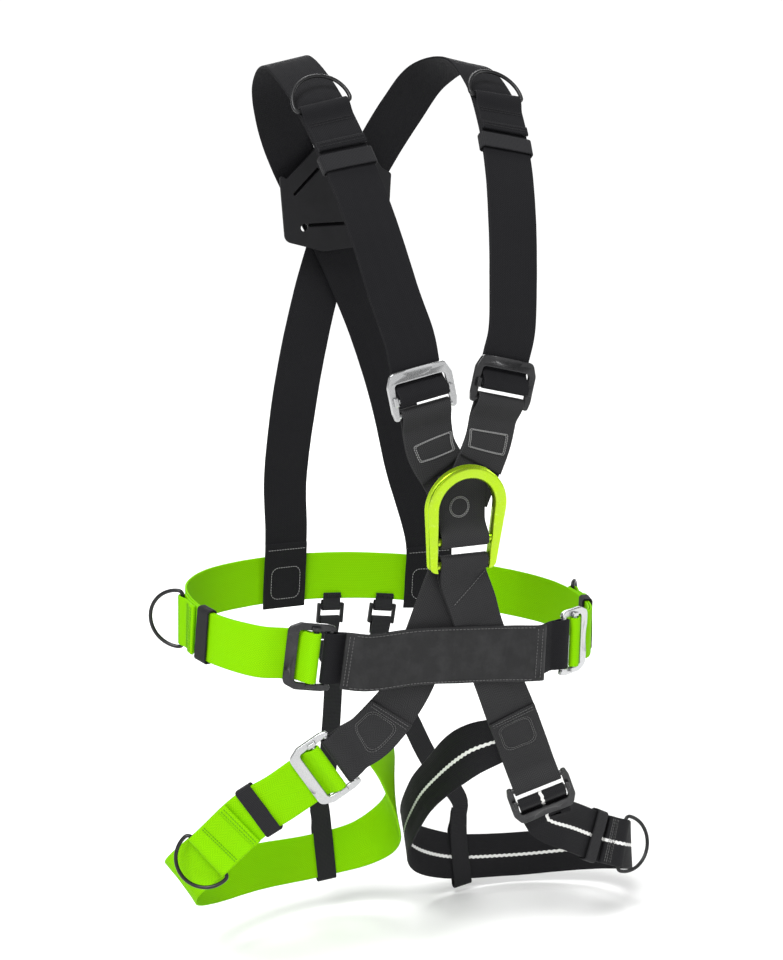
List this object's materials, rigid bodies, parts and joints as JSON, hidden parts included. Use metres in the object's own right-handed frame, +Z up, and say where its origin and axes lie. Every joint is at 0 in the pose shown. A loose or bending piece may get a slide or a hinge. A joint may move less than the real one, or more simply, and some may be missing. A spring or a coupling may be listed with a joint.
{
  "type": "full-body climbing harness",
  "caption": "Full-body climbing harness of 45 mm webbing with a chest ring, waist belt, leg loops, back plate and sliding-bar adjusters with pull rings.",
  "frame": {"origin": "middle of the space inside the waist belt, where the wearer's waist sits", "axes": "+Z up, -Y is the front of the harness, +X is the wearer's left"},
  "size_m": [0.473, 0.2768, 0.8112],
  "materials": {
    "black_webbing": "woven polyester, matt",
    "charcoal_webbing": "woven polyester, matt",
    "sleeve_fabric": "fine woven sleeve with stitched edges",
    "lime_webbing": "woven polyester, slight sheen",
    "tracer_webbing": "woven polyester with a white tracer line",
    "elastic": "ribbed elastic",
    "moulded_plate": "fine moulded grain",
    "black_plastic": "moulded, satin",
    "anodised_ring": "yellow-green anodised, satin",
    "silver_alloy": "tumbled, bright",
    "black_alloy": "black anodised, satin",
    "black_wire": "black coated wire, satin"
  },
  "bodies": {
    "harness": {"shoulder_strap_right": "black_webbing", "shoulder_strap_left": "black_webbing", "chest_strap_right": "charcoal_webbing", "chest_strap_left": "charcoal_webbing", "leg_strap_right": "charcoal_webbing", "leg_strap_left": "charcoal_webbing", "thigh_band_right": "lime_webbing", "thigh_band_left": "tracer_webbing", "belt_webbing": "lime_webbing", "belt_front": "charcoal_webbing", "belt_sleeve": "sleeve_fabric", "back_plate": "moulded_plate", "riser_right": "elastic", "riser_left": "elastic", "riser_tab_right": "elastic", "riser_tab_left": "elastic", "tail_shoulder_right": "black_webbing", "tail_shoulder_left": "black_webbing", "tail_belt_right": "lime_webbing", "tail_belt_left": "lime_webbing", "tail_leg_right": "lime_webbing", "tail_leg_left": "tracer_webbing"},
    "chest_ring_body": {"chest_ring": "anodised_ring", "chest_fold": "charcoal_webbing"},
    "lock_right": {"ladder_lock_right": "black_plastic", "riser_top_right": "elastic"},
    "lock_left": {"ladder_lock_left": "black_plastic", "riser_top_left": "elastic"},
    "buckle_shoulder_right": {"frame_shoulder_right": "silver_alloy"},
    "slider_shoulder_right": {"slide_shoulder_right": "silver_alloy", "roll_shoulder_right": "black_webbing"},
    "pull_ring_shoulder_right": {"ring_shoulder_right": "black_wire"},
    "strap_keeper_shoulder_right": {"keeper_shoulder_right": "elastic"},
    "buckle_shoulder_left": {"frame_shoulder_left": "black_alloy"},
    "slider_shoulder_left": {"slide_shoulder_left": "black_alloy", "roll_shoulder_left": "black_webbing"},
    "pull_ring_shoulder_left": {"ring_shoulder_left": "black_wire"},
    "strap_keeper_shoulder_left": {"keeper_shoulder_left": "elastic"},
    "buckle_belt_right": {"frame_belt_right": "black_alloy"},
    "slider_belt_right": {"slide_belt_right": "black_alloy", "roll_belt_right": "lime_webbing"},
    "pull_ring_belt_right": {"ring_belt_right": "black_wire"},
    "strap_keeper_belt_right": {"keeper_belt_right": "elastic"},
    "buckle_belt_left": {"frame_belt_left": "silver_alloy"},
    "slider_belt_left": {"slide_belt_left": "silver_alloy", "roll_belt_left": "lime_webbing"},
    "pull_ring_belt_left": {"ring_belt_left": "black_wire"},
    "strap_keeper_belt_left": {"keeper_belt_left": "elastic"},
    "buckle_leg_right": {"frame_leg_right": "silver_alloy"},
    "slider_leg_right": {"slide_leg_right": "silver_alloy", "roll_leg_right": "lime_webbing"},
    "pull_ring_leg_right": {"ring_leg_right": "black_wire"},
    "strap_keeper_leg_right": {"keeper_leg_right": "elastic"},
    "buckle_leg_left": {"frame_leg_left": "black_alloy"},
    "slider_leg_left": {"slide_leg_left": "black_alloy", "roll_leg_left": "tracer_webbing"},
    "pull_ring_leg_left": {"ring_leg_left": "black_wire"},
    "strap_keeper_leg_left": {"keeper_leg_left": "elastic"}
  },
  "joints": [
    {"name": "chest_ring_tilt", "type": "hinge", "parent": "harness", "child": "chest_ring_body", "pos_m": [0.001, -0.1244, 0.071], "axis": [1, 0, 0], "range_deg": [0, 30]},
    {"name": "ladder_lock_right_swing", "type": "hinge", "parent": "harness", "child": "lock_right", "pos_m": [-0.02559, 0.1068, -0.02348], "axis": [0.9957, 0.0182, -0.0912], "range_deg": [-8, 8]},
    {"name": "ladder_lock_left_swing", "type": "hinge", "parent": "harness", "child": "lock_left", "pos_m": [0.02819, 0.10695, -0.03014], "axis": [0.9883, -0.0327, -0.149], "range_deg": [-8, 8]},
    {"name": "buckle_shoulder_right_lift", "type": "hinge", "parent": "harness", "child": "buckle_shoulder_right", "pos_m": [-0.03181, -0.11944, 0.2085], "axis": [0.9806, -0.0394, 0.1921], "range_deg": [0, 15]},
    {"name": "slide_bar_shoulder_right_release", "type": "slide", "parent": "buckle_shoulder_right", "child": "slider_shoulder_right", "axis": [0.1901, -0.05, -0.9805], "range_m": [0, 0.003]},
    {"name": "pull_ring_shoulder_right_swing", "type": "hinge", "parent": "harness", "child": "pull_ring_shoulder_right", "pos_m": [-0.07939, -0.01292, 0.45806], "axis": [0.9842, -0.0105, 0.1769], "range_deg": [-10, 140]},
    {"name": "keeper_shoulder_right_slide", "type": "slide", "parent": "harness", "child": "strap_keeper_shoulder_right", "axis": [-0.1123, 0.6325, 0.7664], "range_m": [-0.003, 0.003]},
    {"name": "buckle_shoulder_left_lift", "type": "hinge", "parent": "harness", "child": "buckle_shoulder_left", "pos_m": [0.03802, -0.11944, 0.20966], "axis": [0.9671, 0.0358, -0.2519], "range_deg": [0, 15]},
    {"name": "slide_bar_shoulder_left_release", "type": "slide", "parent": "buckle_shoulder_left", "child": "slider_shoulder_left", "axis": [-0.25, -0.05, -0.967], "range_m": [0, 0.003]},
    {"name": "pull_ring_shoulder_left_swing", "type": "hinge", "parent": "harness", "child": "pull_ring_shoulder_left", "pos_m": [0.08877, -0.00628, 0.45881], "axis": [0.9848, 0.0197, -0.1725], "range_deg": [-5, 145]},
    {"name": "keeper_shoulder_left_slide", "type": "slide", "parent": "harness", "child": "strap_keeper_shoulder_left", "axis": [0.1839, 0.6928, 0.6973], "range_m": [-0.003, 0.003]},
    {"name": "buckle_belt_right_lift", "type": "hinge", "parent": "harness", "child": "buckle_belt_right", "pos_m": [-0.11516, -0.10309, -0.00555], "axis": [0.1159, -0.0313, 0.9928], "range_deg": [0, 15]},
    {"name": "slide_bar_belt_right_release", "type": "slide", "parent": "buckle_belt_right", "child": "slider_belt_right", "axis": [0.9553, -0.2701, -0.12], "range_m": [0, 0.003]},
    {"name": "pull_ring_belt_right_swing", "type": "hinge", "parent": "harness", "child": "pull_ring_belt_right", "pos_m": [-0.21019, 0.00239, 0.01275], "axis": [-0.0015, -0.0537, 0.9986], "range_deg": [-60, 90]},
    {"name": "keeper_belt_right_slide", "type": "slide", "parent": "harness", "child": "strap_keeper_belt_right", "axis": [-0.2543, 0.9608, 0.1109], "range_m": [-0.002, 0.002]},
    {"name": "buckle_belt_left_lift", "type": "hinge", "parent": "harness", "child": "buckle_belt_left", "pos_m": [0.11369, -0.09954, -0.02135], "axis": [-0.0434, -0.0252, -0.9987], "range_deg": [0, 15]},
    {"name": "slide_bar_belt_left_release", "type": "slide", "parent": "buckle_belt_left", "child": "slider_belt_left", "axis": [-0.8634, -0.502, 0.0502], "range_m": [0, 0.003]},
    {"name": "pull_ring_belt_left_swing", "type": "hinge", "parent": "harness", "child": "pull_ring_belt_left", "pos_m": [0.17908, 0.0075, -0.02432], "axis": [-0.0045, 0.0435, -0.999], "range_deg": [-40, 110]},
    {"name": "keeper_belt_left_slide", "type": "slide", "parent": "harness", "child": "strap_keeper_belt_left", "axis": [0.2754, 0.9613, -0.007], "range_m": [-0.002, 0.002]},
    {"name": "buckle_leg_right_lift", "type": "hinge", "parent": "harness", "child": "buckle_leg_right", "pos_m": [-0.10316, -0.09945, -0.09871], "axis": [-0.5326, 0.1598, 0.8311], "range_deg": [0, 15]},
    {"name": "slide_bar_leg_right_release", "type": "slide", "parent": "buckle_leg_right", "child": "slider_leg_right", "axis": [0.8014, -0.2204, 0.556], "range_m": [0, 0.003]},
    {"name": "pull_ring_leg_right_swing", "type": "hinge", "parent": "harness", "child": "pull_ring_leg_right", "pos_m": [-0.20621, -0.04291, -0.1924], "axis": [-0.5619, 0.4326, 0.7051], "range_deg": [-25, 125]},
    {"name": "keeper_leg_right_slide", "type": "slide", "parent": "harness", "child": "strap_keeper_leg_right", "axis": [-0.6908, 0.4388, -0.5747], "range_m": [0, 0.0015]},
    {"name": "buckle_leg_left_lift", "type": "hinge", "parent": "harness", "child": "buckle_leg_left", "pos_m": [0.09068, -0.09659, -0.14974], "axis": [-0.8961, 0.2736, -0.3496], "range_deg": [0, 15]},
    {"name": "slide_bar_leg_left_release", "type": "slide", "parent": "buckle_leg_left", "child": "slider_leg_left", "axis": [-0.4009, -0.1604, 0.902], "range_m": [0, 0.003]},
    {"name": "pull_ring_leg_left_swing", "type": "hinge", "parent": "harness", "child": "pull_ring_leg_left", "pos_m": [0.20419, -0.05361, -0.2406], "axis": [-0.311, -0.2558, -0.9153], "range_deg": [-30, 120]},
    {"name": "keeper_leg_left_slide", "type": "slide", "parent": "harness", "child": "strap_keeper_leg_left", "axis": [0.8199, 0.338, -0.4621], "range_m": [-0.0015, 0.0015]}
  ]
}
